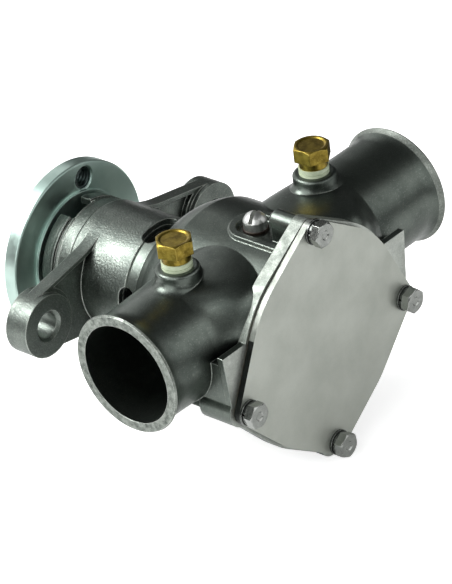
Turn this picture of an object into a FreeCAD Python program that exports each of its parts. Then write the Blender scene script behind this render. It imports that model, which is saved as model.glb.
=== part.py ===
import FreeCAD, Part
import math
import os

# Flexible-impeller water pump with two hose ports, two mounting ears and a drive flange.
# Millimetres. X runs along the ports, Y along the shaft towards the drive flange, Z up.
# Lengths along the shaft are measured from the front face of the cover plate, and every
# piece is moved at the end so that the origin lies on the shaft axis in the plane of the
# ears' rear faces.

# Stations along the shaft
ear_plane = 119.3
cover_thick = 2.8
gasket_thick = 0.4
flange_thick = 5.8
chamber_back = 55.6
wear_plate_thick = 2.0
shoulder_start = 59.5
collar_start = 81.2
joint_plane = 87.7
spigot_length = 4.0
lip_seal_front = 92.2
front_bearing_front = 99.6
bearing_gap = 4.4
barrel_step = 120.7
groove_station = 129.8
barrel_end = 136.2
flange_front = 138.8
drive_flange_thick = 7.0

# Pump body
chamber_r = 38.2
chamber_wall = 6.8
flange_margin = 3.9
bolt_margin = 6.5
shoulder_mid = 65.0
shoulder_mid_drop = 2.2
shoulder_break = 71.0
shoulder_break_drop = 6.4
shoulder_hollow = 0.2
shoulder_foot = 0.9
collar_bore_r = 22.5
spigot_wall = 2.3
seam_deep = 0.6
seal_cavity_r = 19.0
seal_cavity_back = 72.6
seat_cup_r = 16.2
seat_cup_back = 77.4
wear_pin_r = 1.5
wear_pin_inset = 5.0
wear_pin_deep = 5.0

# Cover and its bolts
cover_inset = 1.2
gasket_inset = 0.4
side_bolt_drop = 8.5
lobe_r = 5.6
body_lobe_r = 6.2
top_lobe_r = 4.9
boss_r = 7.5
top_boss_r = 4.4
boss_length = 16.6
boss_dome = 2.2
cover_bolt_r = 3.0
cover_bolt_length = 16.0
cover_head_flats = 10.0
cover_head_height = 3.9
cover_head_dimple_r = 2.2
cover_head_dimple_deep = 0.5
cover_head_turn_deg = 17.0
flat_washer_r = 5.6
flat_washer_thick = 1.0
spring_washer_r = 5.1
spring_washer_thick = 1.4
spring_washer_gap = 0.7
spring_washer_gap_deg = 200.0
washer_bore_r = 3.2

# Ports
port_y = 36.6
port_z = 15.0
near_port_end = -81.0
far_port_end = 94.4
port_bore_r = 22.3
port_wall = 2.6
port_root_swell = 1.1
port_root_x = 40.0
port_slim_x = 68.0
near_rim_rise = 1.9
far_rim_rise = 2.3
rim_length = 8.5
rim_land = 0.9
rim_chamfer = 0.5
blend_front_gap = 1.2
blend_root_x = 6.0
blend_full_x = 28.0
blend_hip_x = 41.0
blend_swell_x = 47.0
blend_neck_x = 54.0
passage_start = 50.0
passage_end = 25.0
window_r = 17.5
window_y = 31.5
window_z = 11.0

# Gusset plates beside the flange
gusset_x = 58.6
gusset_top = 20.6
gusset_foot_x = 56.8
gusset_thick = 3.0
gusset_web_back = 24.0
gusset_web_drop = 4.5

# Plugs on the ports
plug_x = 43.7
plug_boss_r = 9.4
plug_boss_rise = 7.0
plug_boss_round = 1.4
plug_boss_fillet = 4.4
plug_washer_r = 6.5
plug_washer_thick = 3.3
plug_washer_groove = 0.4
plug_flats = 14.5
plug_hex_height = 6.4
plug_crown_inset = 0.1
plug_crown_slope = 1.5
plug_dish_r = 6.2
plug_dish_deep = 0.5
plug_dish_taper = 0.7
plug_collar_r = 6.1
plug_collar_height = 3.6
plug_thread_r = 5.0
plug_thread_length = 10.0
left_plug_turn_deg = 46.0
right_plug_turn_deg = 33.5

# Cam screw and the recess that it sits in
cam_screw_y = 32.2
recess_deep = 2.1
recess_r = 7.2
recess_mouth_r = 8.4
lip_foot_r = 12.7
lip_top_r = 11.1
screw_head_r = 5.05
screw_head_height = 7.2
screw_dome_r = 5.4
screw_slot_wide = 1.8
screw_slot_deep = 3.2
screw_slot_turn_deg = 17.0
cam_screw_r = 3.0
cam_screw_length = 13.5
screw_washer_thick = 1.0

# Bearing housing
barrel_mid_r = 27.5
barrel_rear_r = 26.4
groove_wide = 1.3
groove_deep = 0.8
bead_r = 0.9
bead_sink = 0.5
undercut_wide = 1.2
undercut_deep = 0.8
ear_x = 53.3
ear_r = 14.2
ear_thick = 11.5
ear_hole_r = 5.75
ear_chamfer = 1.3
ear_foot_r = 16.2
arm_root_r = 23.9
arm_blend_r = 40.0
arm_front_set = 2.4
arm_web_set = 4.8
arm_rear_set = 8.5
rim_wide = 2.0
drain_half_deg = 23.0
drain_end_r = 4.3
drain_set = 1.0
notch_start_deg = 84.0
notch_end_deg = 113.0
notch_depth = 8.0
rear_bore_wall = 2.9
rear_bore_length = 6.05

# Shaft
wet_shaft_r = 8.0
bearing_shaft_r = 10.0
flange_shaft_r = 9.0
shaft_collar_r = 12.4
shaft_collar_wide = 1.6
shaft_thread_r = 6.0
shaft_chamfer = 0.8
key_wide = 4.0
key_high = 4.0
key_end_gap = 6.0
snap_ring_set = 1.3
snap_ring_thick = 0.7
snap_ring_deep = 0.6
snap_ring_rise = 2.2

# Bearings
bearing_r = 21.0
bearing_wide = 12.0
inner_ring_r = 13.4
outer_ring_bore_r = 17.7
ball_r = 3.175
ball_count = 9
race_gap = 0.03
pocket_gap = 0.08
cage_half_wall = 1.2
cage_half_wide = 3.9
shield_groove = 0.8
shield_land = 1.3
shield_set = 0.3
shield_thick = 0.9
shield_gap = 0.15
retaining_ring_thick = 1.15
retaining_ring_rise = 1.0
retaining_ring_wall = 3.6
ring_gap_deg = 28.0

# Seals
lip_seal_r = 17.5
lip_seal_wide = 6.0
lip_seal_wall = 1.6
lip_seal_rim_r = 13.2
lip_seal_neck_r = 11.4
slinger_r = 18.4
slinger_foot_r = 12.6
slinger_half = 2.2
slinger_disc_half = 0.6
seal_seat_r = 14.0
seal_seat_bore_r = 9.4
seal_seat_set = 0.6
seat_cup_bore_r = 10.6
seat_cup_floor = 0.8
seal_face_r = 12.6
seal_face_thick = 2.4
seal_nose_r = 11.4
seal_nose_length = 0.55
seal_face_gap = 0.3
bellows_r = 11.6
bellows_waist_r = 9.6
bellows_end = 1.6
bellows_waist_half = 1.2
seal_retainer_r = 16.0
seal_retainer_wall = 0.8
seal_retainer_thick = 1.4
seal_retainer_rim = 1.6
seal_retainer_set = 1.6
spring_plate_r = 14.8
spring_wire_r = 0.75
spring_coil_r = 13.6
spring_turns = 3

# Clearances
running_gap = 0.05
press_gap = 0.02
body_gap = 0.4

# Impeller and cam
vane_count = 10
vane_start_deg = 6.0
vane_lean_deg = 13.0
vane_squeeze_deg = 2.4
impeller_hub_r = 17.0
insert_r = 13.0
vane_root_wide = 5.2
vane_tip_wide = 3.0
vane_bulb_r = 2.4
cam_half_deg = 38.0
cam_rise = 7.2
wear_plate_bore_r = 15.0

# Drive flange
drive_flange_r = 40.3
drive_edge = 0.6
drive_hole_circle_r = 33.0
drive_hole_r = 5.0
drive_hole_count = 3
drive_hole_start_deg = 75.0
hub_set_back = 5.6
hub_r = 16.0
hub_face_r = 27.6
hub_face_rise = 1.2
hub_nose_r = 12.4
nut_recess_r = 14.0
nut_recess_deep = 8.0
nut_flats = 19.0
nut_height = 5.4
nut_washer_r = 12.0
nut_washer_thick = 1.6

# Radii that follow from the sizes above
collar_r = barrel_mid_r
chamber_outer_r = chamber_r + chamber_wall
body_flange_r = chamber_outer_r + flange_margin
cover_r = body_flange_r - cover_inset
bolt_circle_r = chamber_outer_r + bolt_margin
shoulder_end_r = collar_r + shoulder_foot
cam_crown = chamber_r - cam_rise
tube_r = port_bore_r + port_wall
tube_root_r = tube_r + port_root_swell
ball_circle_r = (inner_ring_r + outer_ring_bore_r) / 2

# Heights that follow from them
recess_floor = chamber_outer_r - recess_deep
lip_top = chamber_outer_r
plug_boss_top = port_z + tube_r + plug_boss_rise
plug_hex_low = plug_boss_top + plug_washer_thick + plug_collar_height
plug_top = plug_hex_low + plug_hex_height

# Stations that follow from the sizes above
body_front = cover_thick + gasket_thick
flange_back = body_front + flange_thick
wear_plate_front = chamber_back - wear_plate_thick
impeller_front = body_front + body_gap - gasket_thick
impeller_back = wear_plate_front - body_gap
front_bearing_back = front_bearing_front + bearing_wide
rear_bearing_front = front_bearing_back + bearing_gap
rear_bearing_back = rear_bearing_front + bearing_wide
drive_back = flange_front + drive_flange_thick
nut_seat = drive_back - nut_recess_deep
hub_front = barrel_end - hub_set_back
rear_bore_r = barrel_rear_r - rear_bore_wall
drain_mid = joint_plane - drain_set
snap_ring_front = impeller_front + snap_ring_set
ear_front = ear_plane - ear_thick
rim_front = ear_front + arm_front_set
web_front = ear_front + arm_web_set
arm_rear = ear_front + arm_rear_set

X_AXIS = FreeCAD.Vector(1, 0, 0)
Y_AXIS = FreeCAD.Vector(0, 1, 0)
Z_AXIS = FreeCAD.Vector(0, 0, 1)


def vec(x, y, z):
    return FreeCAD.Vector(x, y, z)


def rod(radius, start, end, x=0.0, z=0.0):
    """Cylinder along Y between two stations."""
    return Part.makeCylinder(radius, end - start, vec(x, start, z), Y_AXIS)


def tube(outer, inner, start, end, x=0.0, z=0.0):
    """Hollow cylinder along Y."""
    return rod(outer, start, end, x, z).cut(rod(inner, start - 1, end + 1, x, z))


def post(radius, low, high, x, y):
    """Cylinder along Z."""
    return Part.makeCylinder(radius, high - low, vec(x, y, low), Z_AXIS)


def box(x0, x1, y0, y1, z0, z1):
    return Part.makeBox(x1 - x0, y1 - y0, z1 - z0, vec(x0, y0, z0))


def turned(points):
    """Solid of revolution about the shaft axis, from (radius, station) points."""
    corners = [vec(radius, station, 0) for radius, station in points]
    return Part.Face(Part.makePolygon(corners + corners[:1])).revolve(vec(0, 0, 0), Y_AXIS, 360)


def slab(edges, start, end):
    """Closed outline in the plane Y = start, pushed along Y to end."""
    return Part.Face(Part.Wire(edges)).extrude(vec(0, end - start, 0))


def polygon_slab(points, start, end):
    """Straight-sided outline of (x, z) points between two stations."""
    corners = [vec(x, start, z) for x, z in points]
    return Part.Face(Part.makePolygon(corners + corners[:1])).extrude(vec(0, end - start, 0))


def on_circle(radius, degrees):
    angle = math.radians(degrees)
    return radius * math.cos(angle), radius * math.sin(angle)


def hull_slab(big_r, small_r, x, z, start, end):
    """Big circle on the axis and small circle at (x, z), joined by their common tangents."""
    reach = math.hypot(x, z)
    lean = math.degrees(math.atan2(z, x))
    spread = math.degrees(math.acos((big_r - small_r) / reach))
    corners = []
    for side in (1, -1):
        far = on_circle(small_r, lean + side * spread)
        near = on_circle(big_r, lean + side * spread)
        pair = [(near[0], near[1]), (x + far[0], z + far[1])]
        corners += pair if side == 1 else pair[::-1]
    shape = rod(big_r, start, end).fuse(rod(small_r, start, end, x, z))
    return shape.fuse(polygon_slab(corners, start, end))


def sector(radius, start_deg, end_deg, start, end):
    """Wedge about the shaft axis, wider than any piece that it cuts."""
    steps = 6
    turn = (end_deg - start_deg) / steps
    rim = [on_circle(radius, start_deg + turn * step) for step in range(steps + 1)]
    return polygon_slab([(0.0, 0.0)] + rim, start, end)


def hexagon(flats, start, end, x=0.0, z=0.0, turn_deg=0.0):
    corner = flats / 2 / math.cos(math.pi / 6)
    points = []
    for step in range(6):
        dx, dz = on_circle(corner, turn_deg + 60 * step)
        points.append((x + dx, z + dz))
    return polygon_slab(points, start, end)


def bolt_places():
    """Centres of the four cover bolts, as (x, z)."""
    angles = (90.0, -side_bolt_drop, -90.0, 180.0 + side_bolt_drop)
    return [on_circle(bolt_circle_r, angle) for angle in angles]


def flange_outline(plate_r, tip_r, top_tip_r, start, end):
    """Round plate with a lobe at each bolt, joined to it by straight tangent sides."""
    shape = rod(plate_r, start, end)
    for number, (x, z) in enumerate(bolt_places()):
        tip = top_tip_r if number == 0 else tip_r
        shape = shape.fuse(hull_slab(plate_r, tip, x, z, start, end))
    return shape


def oval(x, front_half, rear_half, half_z, square):
    """Closed curve in the plane X = x: round towards the rear, boxier towards the front flange."""
    points = []
    steps = 24
    for step in range(steps):
        angle = 2 * math.pi * step / steps
        c, s = math.cos(angle), math.sin(angle)
        if c < 0:
            y = port_y - front_half * abs(c) ** square
        else:
            y = port_y + rear_half * c
        bulge = square if c < 0 else 1.0
        z = port_z + half_z * math.copysign(abs(s) ** bulge, s)
        points.append(vec(x, y, z))
    curve = Part.BSplineCurve()
    curve.interpolate(points, PeriodicFlag=True)
    return Part.Wire(curve.toShape())


def tube_radius(x):
    """Outside radius of a port before its flare, at a distance from the pump's middle."""
    along = min(max((abs(x) - port_root_x) / (port_slim_x - port_root_x), 0.0), 1.0)
    return tube_root_r + (tube_r - tube_root_r) * along


def port_outside(end, rim_rise, side):
    """Outside of one hose port, from the chamber to its flared rim."""
    tip = abs(end)
    rim_r = tube_r + rim_rise
    flare = tip - rim_length
    flare_mid = vec(flare + rim_length * 0.6, tube_r + rim_rise * 0.42, 0)
    profile = [
        Part.makeLine(vec(0, 0, 0), vec(0, tube_root_r, 0)),
        Part.makeLine(vec(0, tube_root_r, 0), vec(port_root_x, tube_root_r, 0)),
        Part.makeLine(vec(port_root_x, tube_root_r, 0), vec(port_slim_x, tube_r, 0)),
        Part.makeLine(vec(port_slim_x, tube_r, 0), vec(flare, tube_r, 0)),
        Part.Arc(vec(flare, tube_r, 0), flare_mid, vec(tip - rim_land, rim_r, 0)).toShape(),
        Part.makeLine(vec(tip - rim_land, rim_r, 0), vec(tip, rim_r - rim_chamfer, 0)),
        Part.makeLine(vec(tip, rim_r - rim_chamfer, 0), vec(tip, 0, 0)),
        Part.makeLine(vec(tip, 0, 0), vec(0, 0, 0)),
    ]
    shape = Part.Face(Part.Wire(profile)).revolve(vec(0, 0, 0), X_AXIS, 360)
    if side < 0:
        shape = shape.mirror(vec(0, 0, 0), X_AXIS)
    shape.translate(vec(0, port_y, port_z))
    return shape


def port_blend(side):
    """Casting that swells from the round tube into the width of the chamber."""
    widest = port_y - body_front - blend_front_gap
    neck = tube_radius(blend_neck_x)
    swell = tube_radius(blend_swell_x)
    hip = tube_radius(blend_hip_x)
    trunk = tube_radius(blend_full_x)
    wires = [
        oval(side * blend_neck_x, neck - 0.15, neck - 0.15, neck - 0.15, 1.0),
        oval(side * blend_swell_x, swell + 2.7, swell - 0.12, swell - 0.03, 0.78),
        oval(side * blend_hip_x, widest - 0.8, hip - 0.06, hip + 0.14, 0.56),
        oval(side * blend_full_x, widest, trunk, trunk + 0.7, 0.44),
        oval(side * blend_root_x, widest, trunk, trunk + 1.0, 0.40),
    ]
    return Part.makeLoft(wires, True, False)


def plug_boss(side):
    """Round seat for a plug, with a rounded top edge."""
    inner = plug_boss_r - plug_boss_round
    edge = plug_boss_top - plug_boss_round
    bend = plug_boss_round * math.cos(math.pi / 4)
    round_mid = vec(inner + bend, 0, edge + bend)
    foot = port_z + tube_r / 2
    edges = [
        Part.makeLine(vec(0, 0, plug_boss_top), vec(inner, 0, plug_boss_top)),
        Part.Arc(vec(inner, 0, plug_boss_top), round_mid, vec(plug_boss_r, 0, edge)).toShape(),
        Part.makeLine(vec(plug_boss_r, 0, edge), vec(plug_boss_r, 0, foot)),
        Part.makeLine(vec(plug_boss_r, 0, foot), vec(0, 0, foot)),
        Part.makeLine(vec(0, 0, foot), vec(0, 0, plug_boss_top)),
    ]
    shape = Part.Face(Part.Wire(edges)).revolve(vec(0, 0, 0), Z_AXIS, 360)
    shape.translate(vec(side * plug_x, port_y, 0))
    return shape


def port_with_boss(end, rim_rise, side):
    """One port with its plug seat, the corner between them filled round."""
    shape = port_outside(end, rim_rise, side).fuse(plug_boss(side)).removeSplitter()
    corner = []
    for edge in shape.Edges:
        span = edge.LastParameter - edge.FirstParameter
        spots = [edge.valueAt(edge.FirstParameter + span * step / 6) for step in range(7)]
        reach = [math.hypot(spot.x - side * plug_x, spot.y - port_y) for spot in spots]
        on_boss = all(abs(value - plug_boss_r) < 0.01 for value in reach)
        low = max(spot.z for spot in spots) < plug_boss_top - plug_boss_round - 0.1
        if on_boss and low and max(spot.y for spot in spots) - min(spot.y for spot in spots) > 0.1:
            corner.append(edge)
    return shape.makeFillet(plug_boss_fillet, corner)


def port_passage(end, side):
    """Bore of one port, narrowing to the window into the chamber."""
    tip = abs(end) + 1.0
    mouth = vec(side * passage_start, port_y, port_z)
    straight = Part.makeCylinder(port_bore_r, tip - passage_start, mouth, vec(side, 0, 0))
    window = vec(side * passage_end, window_y, window_z)
    wires = [
        Part.Wire(Part.makeCircle(port_bore_r, mouth, X_AXIS)),
        Part.Wire(Part.makeCircle(window_r, window, X_AXIS)),
    ]
    return straight.fuse(Part.makeLoft(wires, True, True))


def bolt_boss(x, z, radius):
    """Boss behind the flange that takes a cover bolt, with a rounded end."""
    shaft_end = body_front + boss_length
    shape = rod(radius, body_front, shaft_end, x, z)
    cap = Part.makeCone(radius, radius - boss_dome, boss_dome, vec(x, shaft_end, z), Y_AXIS)
    return shape.fuse(cap)


def gusset(side):
    """Flat corner of the flange beside a port, with the web behind it."""
    inner = gusset_x - 18.0
    foot_x, foot_z = on_circle(bolt_circle_r, -side_bolt_drop)
    plate_back = body_front + gusset_thick
    corner_z = foot_z + 5.0
    plate = [(inner, foot_z), (foot_x, foot_z), (gusset_foot_x, corner_z), (gusset_x, gusset_top),
             (inner, gusset_top)]
    web_top = gusset_top - gusset_web_drop
    web = [(inner, foot_z), (foot_x + boss_r, foot_z), (gusset_foot_x, corner_z), (gusset_x - 1.2, web_top),
           (inner, web_top)]
    shape = polygon_slab([(side * x, z) for x, z in plate], body_front, plate_back)
    return shape.fuse(polygon_slab([(side * x, z) for x, z in web], plate_back, gusset_web_back))


def shoulder():
    """Shoulder from the chamber down to the rear collar, round first and hollow below."""
    break_r = chamber_outer_r - shoulder_break_drop
    hollow_r = (break_r + shoulder_end_r) / 2 - shoulder_hollow
    top = vec(chamber_outer_r, shoulder_start, 0)
    round_mid = vec(chamber_outer_r - shoulder_mid_drop, shoulder_mid, 0)
    turn = vec(break_r, shoulder_break, 0)
    hollow_mid = vec(hollow_r, (shoulder_break + collar_start) / 2, 0)
    foot = vec(shoulder_end_r, collar_start, 0)
    edges = [
        Part.makeLine(vec(0, shoulder_start, 0), top),
        Part.Arc(top, round_mid, turn).toShape(),
        Part.Arc(turn, hollow_mid, foot).toShape(),
        Part.makeLine(foot, vec(0, collar_start, 0)),
        Part.makeLine(vec(0, collar_start, 0), vec(0, shoulder_start, 0)),
    ]
    return Part.Face(Part.Wire(edges)).revolve(vec(0, 0, 0), Y_AXIS, 360)


def drain_windows():
    """Four windows with round ends, through the wall where body and bearing housing meet."""
    reach = barrel_mid_r + 12.0
    straight_deg = drain_half_deg - math.degrees(drain_end_r / barrel_mid_r)
    cutter = None
    for centre in (0, 90, 180, 270):
        window = sector(reach, centre - straight_deg, centre + straight_deg, drain_mid - drain_end_r,
                        drain_mid + drain_end_r)
        for turn_deg in (centre - straight_deg, centre + straight_deg):
            x, z = on_circle(1.0, turn_deg)
            window = window.fuse(Part.makeCylinder(drain_end_r, reach, vec(0, drain_mid, 0), vec(x, 0, z)))
        cutter = window if cutter is None else cutter.fuse(window)
    return cutter


def seam():
    """Small V round the joint between pump body and bearing housing."""
    mouth = seam_deep + 0.1
    return turned([
        (collar_r - seam_deep, joint_plane), (collar_r + 0.1, joint_plane - mouth),
        (collar_r + 0.1, joint_plane + mouth),
    ])


def raised_tongue(low_r, high_r, low, high):
    """Tapered tongue round the cam screw, straight from there to the front flange."""
    shape = Part.makeCone(low_r, high_r, high - low, vec(0, cam_screw_y, low), Z_AXIS)
    corners = [(-low_r, low), (low_r, low), (high_r, high), (-high_r, high)]
    return shape.fuse(polygon_slab(corners, flange_back - 0.5, cam_screw_y))


def pump_body():
    top_bolt, *other_bolts = bolt_places()
    shape = flange_outline(body_flange_r, body_lobe_r, top_lobe_r, body_front, flange_back)
    shape = shape.fuse(rod(chamber_outer_r, flange_back, shoulder_start))
    shape = shape.fuse(shoulder())
    shape = shape.fuse(rod(collar_r, collar_start, joint_plane))
    shape = shape.fuse(rod(collar_bore_r + spigot_wall, joint_plane, joint_plane + spigot_length))
    for side, end, rim_rise in ((-1, near_port_end, near_rim_rise), (1, far_port_end, far_rim_rise)):
        shape = shape.fuse(port_with_boss(end, rim_rise, side))
        shape = shape.fuse(port_blend(side))
        shape = shape.fuse(gusset(side))
    for x, z in other_bolts:
        shape = shape.fuse(bolt_boss(x, z, boss_r))
    shape = shape.fuse(raised_tongue(lip_foot_r, lip_top_r, recess_floor - 1.0, lip_top))
    shape = shape.cut(raised_tongue(recess_r, recess_mouth_r, recess_floor, lip_top + 0.6))
    shape = shape.fuse(bolt_boss(*top_bolt, top_boss_r))
    shape = shape.fuse(box(-top_boss_r + 0.5, top_boss_r - 0.5, body_front, body_front + boss_length,
                           recess_floor - 1.0, bolt_circle_r))
    shape = shape.cut(rod(chamber_r, body_front - 1, chamber_back))
    shape = shape.cut(rod(seal_cavity_r, chamber_back - 1, seal_cavity_back))
    shape = shape.cut(rod(seat_cup_r, seal_cavity_back - 1, seat_cup_back))
    shape = shape.cut(rod(shaft_collar_r, seat_cup_back - 1, collar_start))
    shape = shape.cut(rod(collar_bore_r, collar_start - 0.6, joint_plane + spigot_length + 1))
    for side, end in ((-1, near_port_end), (1, far_port_end)):
        shape = shape.cut(port_passage(end, side))
        plug_hole = post(plug_thread_r + running_gap, port_z, plug_boss_top + 1, side * plug_x, port_y)
        shape = shape.cut(plug_hole)
    shape = shape.cut(drain_windows()).cut(seam())
    for x, z in bolt_places():
        hole_end = body_front + cover_bolt_length - 1.0
        shape = shape.cut(rod(cover_bolt_r + running_gap, body_front - 1, hole_end, x, z))
    shape = shape.cut(post(cam_screw_r + running_gap, chamber_r - 6, recess_floor + 1, 0, cam_screw_y))
    pin_x, pin_z = wear_pin_place()
    shape = shape.cut(rod(wear_pin_r, chamber_back - 0.5, chamber_back + wear_pin_deep, pin_x, pin_z))
    return shape.removeSplitter()


def wear_pin_place():
    """The pin that stops the wear plate from turning, low in the chamber."""
    return on_circle(chamber_r - wear_pin_inset, -90.0)


def arm(side, start, end, drop=0.0):
    """Outline of one arm: ear and barrel joined by tangents, hollowed where it meets the barrel."""
    shape = hull_slab(arm_root_r, ear_r, side * ear_x, 0.0, start, end)
    spread = math.acos((arm_root_r - ear_r) / ear_x)
    run = (math.sin(spread), -math.cos(spread))
    rise = (math.cos(spread), math.sin(spread))
    away = math.sqrt((barrel_mid_r + arm_blend_r) ** 2 - (arm_root_r + arm_blend_r) ** 2)
    centre = [away * run[k] + (arm_root_r + arm_blend_r) * rise[k] for k in (0, 1)]
    on_arm = [away * run[k] + arm_root_r * rise[k] for k in (0, 1)]
    on_barrel = [value * barrel_mid_r / (barrel_mid_r + arm_blend_r) for value in centre]
    for flip in (1, -1):
        corners = [(0, 0), (side * on_barrel[0], flip * on_barrel[1]), (side * on_arm[0], flip * on_arm[1])]
        wedge = polygon_slab(corners, start, end)
        wedge = wedge.cut(rod(arm_blend_r, start - 1, end + 1, side * centre[0], flip * centre[1]))
        shape = shape.fuse(wedge)
    if drop:
        shape.translate(vec(0, 0, -drop))
    return shape


def bearing_housing():
    shape = rod(barrel_mid_r, joint_plane, barrel_step)
    shape = shape.fuse(rod(barrel_rear_r, barrel_step, barrel_end))
    for side in (-1, 1):
        block = arm(side, rim_front, arm_rear)
        pocket = arm(side, rim_front - 1, web_front, rim_wide)
        pocket = pocket.cut(rod(ear_foot_r, rim_front - 2, web_front + 1, side * ear_x))
        shape = shape.fuse(block.cut(pocket))
        shape = shape.fuse(rod(ear_r, ear_front, ear_plane, side * ear_x))
    groove_half = groove_wide / 2
    for side in (-1, 1):
        bead_mid = vec(0, groove_station + side * (groove_half + bead_r - bead_sink / 2), 0)
        shape = shape.fuse(Part.makeTorus(barrel_rear_r - bead_sink, bead_r, bead_mid, Y_AXIS))
    shape = shape.cut(tube(barrel_rear_r + 1, barrel_rear_r - groove_deep, groove_station - groove_half,
                           groove_station + groove_half))
    shape = shape.cut(tube(barrel_mid_r + 1, barrel_rear_r - undercut_deep, barrel_step,
                           barrel_step + undercut_wide))
    bore_end = barrel_end - rear_bore_length
    shape = shape.cut(rod(bearing_r, front_bearing_front, bore_end + 1))
    shape = shape.cut(rod(rear_bore_r, bore_end, barrel_end + 1))
    shape = shape.cut(rod(lip_seal_r - 1.8, lip_seal_front, front_bearing_front + 1))
    shape = shape.cut(rod(lip_seal_r, lip_seal_front - 1, lip_seal_front + lip_seal_wide))
    spigot_r = collar_bore_r + spigot_wall
    shape = shape.cut(rod(spigot_r, joint_plane - 1, joint_plane + spigot_length))
    shape = shape.cut(rod(collar_bore_r, joint_plane - 1, lip_seal_front))
    shape = shape.cut(drain_windows()).cut(seam())
    for turn in (0, 180):
        notch_front = barrel_end - notch_depth
        wedge = sector(40.0, notch_start_deg + turn, notch_end_deg + turn, notch_front, barrel_end + 1)
        shape = shape.cut(wedge)
    ring_groove = tube(bearing_r + retaining_ring_rise + 0.1, bearing_r - 1, rear_bearing_back,
                       rear_bearing_back + retaining_ring_thick + 0.1)
    shape = shape.cut(ring_groove)
    for side in (-1, 1):
        shape = shape.cut(rod(ear_hole_r, ear_front - 1, ear_plane + 1, side * ear_x))
        mouth = Part.makeCone(ear_hole_r + ear_chamfer, ear_hole_r, ear_chamfer,
                              vec(side * ear_x, ear_front, 0), Y_AXIS)
        shape = shape.cut(mouth)
    return shape.removeSplitter()


def cover_plate():
    shape = flange_outline(cover_r, lobe_r, top_lobe_r, 0.0, cover_thick)
    for x, z in bolt_places():
        shape = shape.cut(rod(washer_bore_r, -1, cover_thick + 1, x, z))
    return shape


def cover_gasket():
    shape = flange_outline(cover_r - gasket_inset, lobe_r - gasket_inset, top_lobe_r - gasket_inset,
                           cover_thick, body_front)
    shape = shape.cut(rod(chamber_r + 1.0, cover_thick - 1, body_front + 1))
    for x, z in bolt_places():
        shape = shape.cut(rod(washer_bore_r, cover_thick - 1, body_front + 1, x, z))
    return shape


def cover_bolts():
    """Four hexagon bolts with chamfered heads and a dimple in each."""
    head_back = -flat_washer_thick - spring_washer_thick
    head_front = head_back - cover_head_height
    crown_r = cover_head_flats * 0.475
    crown_slope = 1.75
    shank_end = body_front + cover_bolt_length - 2.0
    dimple_taper = 0.6
    solids = []
    for number, (x, z) in enumerate(bolt_places()):
        face = vec(x, head_front, z)
        head = hexagon(cover_head_flats, head_front, head_back, x, z, cover_head_turn_deg * number)
        crown_foot_r = crown_r + cover_head_height * crown_slope
        crown = Part.makeCone(crown_r, crown_foot_r, cover_head_height, face, Y_AXIS)
        shank = rod(cover_bolt_r, head_back, shank_end, x, z)
        dimple = Part.makeCone(cover_head_dimple_r, cover_head_dimple_r - dimple_taper,
                               cover_head_dimple_deep, face, Y_AXIS)
        solids.append(head.common(crown).fuse(shank).cut(dimple))
    return Part.makeCompound(solids)


def washer_set(outer, start, thick, gap_wide=0.0):
    """One washer at each cover bolt; a spring washer has a split."""
    solids = []
    for x, z in bolt_places():
        washer = tube(outer, washer_bore_r, start, start + thick, x, z)
        if gap_wide:
            gap = box(x, x + outer + 1, start - 1, start + thick + 1, z - gap_wide / 2, z + gap_wide / 2)
            gap.rotate(vec(x, 0, z), Y_AXIS, spring_washer_gap_deg)
            washer = washer.cut(gap)
        solids.append(washer)
    return Part.makeCompound(solids)


def cam():
    """Segment at the top of the chamber that bends the vanes as they pass."""
    seat_r = chamber_r - running_gap
    half_x, half_z = on_circle(seat_r, 90.0 - cam_half_deg)
    start = impeller_front
    right = vec(half_x, start, half_z)
    left = vec(-half_x, start, half_z)
    edges = [
        Part.Arc(right, vec(0, start, seat_r), left).toShape(),
        Part.Arc(left, vec(0, start, cam_crown), right).toShape(),
    ]
    shape = slab(edges, start, impeller_back)
    return shape.cut(post(cam_screw_r + running_gap, cam_crown - 2, chamber_r + 1, 0, cam_screw_y))


def cam_screw():
    """Slotted screw with a domed head, held down on its sealing washer."""
    seat = recess_floor + screw_washer_thick
    top = seat + screw_head_height
    head = post(screw_head_r, seat, top, 0, cam_screw_y)
    dome = Part.makeSphere(screw_dome_r, vec(0, cam_screw_y, top - screw_dome_r))
    shoulder_low = post(screw_head_r, seat, top - screw_dome_r + 0.2, 0, cam_screw_y)
    head = head.common(dome).fuse(shoulder_low)
    slot = box(-screw_head_r - 1, screw_head_r + 1, cam_screw_y - screw_slot_wide / 2,
               cam_screw_y + screw_slot_wide / 2, top - screw_slot_deep, top + 1)
    slot.rotate(vec(0, cam_screw_y, 0), Z_AXIS, screw_slot_turn_deg)
    shank = post(cam_screw_r, seat - cam_screw_length + 3.0, seat, 0, cam_screw_y)
    return head.fuse(shank).cut(slot)


def cam_screw_washer():
    low = recess_floor
    high = low + screw_washer_thick
    washer = post(screw_head_r + 0.5, low, high, 0, cam_screw_y)
    return washer.cut(post(cam_screw_r + 0.1, low - 1, high + 1, 0, cam_screw_y))


def wear_plate():
    shape = tube(chamber_r - running_gap, wear_plate_bore_r, wear_plate_front, chamber_back)
    pin_x, pin_z = wear_pin_place()
    return shape.cut(rod(wear_pin_r, wear_plate_front - 1, chamber_back + 1, pin_x, pin_z))


def wear_plate_pin():
    pin_x, pin_z = wear_pin_place()
    return rod(wear_pin_r - press_gap, wear_plate_front + 0.3, chamber_back + wear_pin_deep - body_gap,
               pin_x, pin_z)


def cam_limit(angle_deg):
    """Largest radius that a vane may reach at this angle without meeting bore or cam."""
    off = abs((angle_deg - 90.0 + 180.0) % 360.0 - 180.0)
    if off > cam_half_deg + 6.0:
        return chamber_r - body_gap
    edge = (chamber_r - 0.2) * math.cos(math.radians(cam_half_deg))
    blend = min(1.0, off / cam_half_deg)
    height = cam_crown + (edge - cam_crown) * blend * blend - 0.5
    return min(chamber_r - body_gap, height / math.cos(math.radians(min(off, cam_half_deg + 6.0))))


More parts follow.
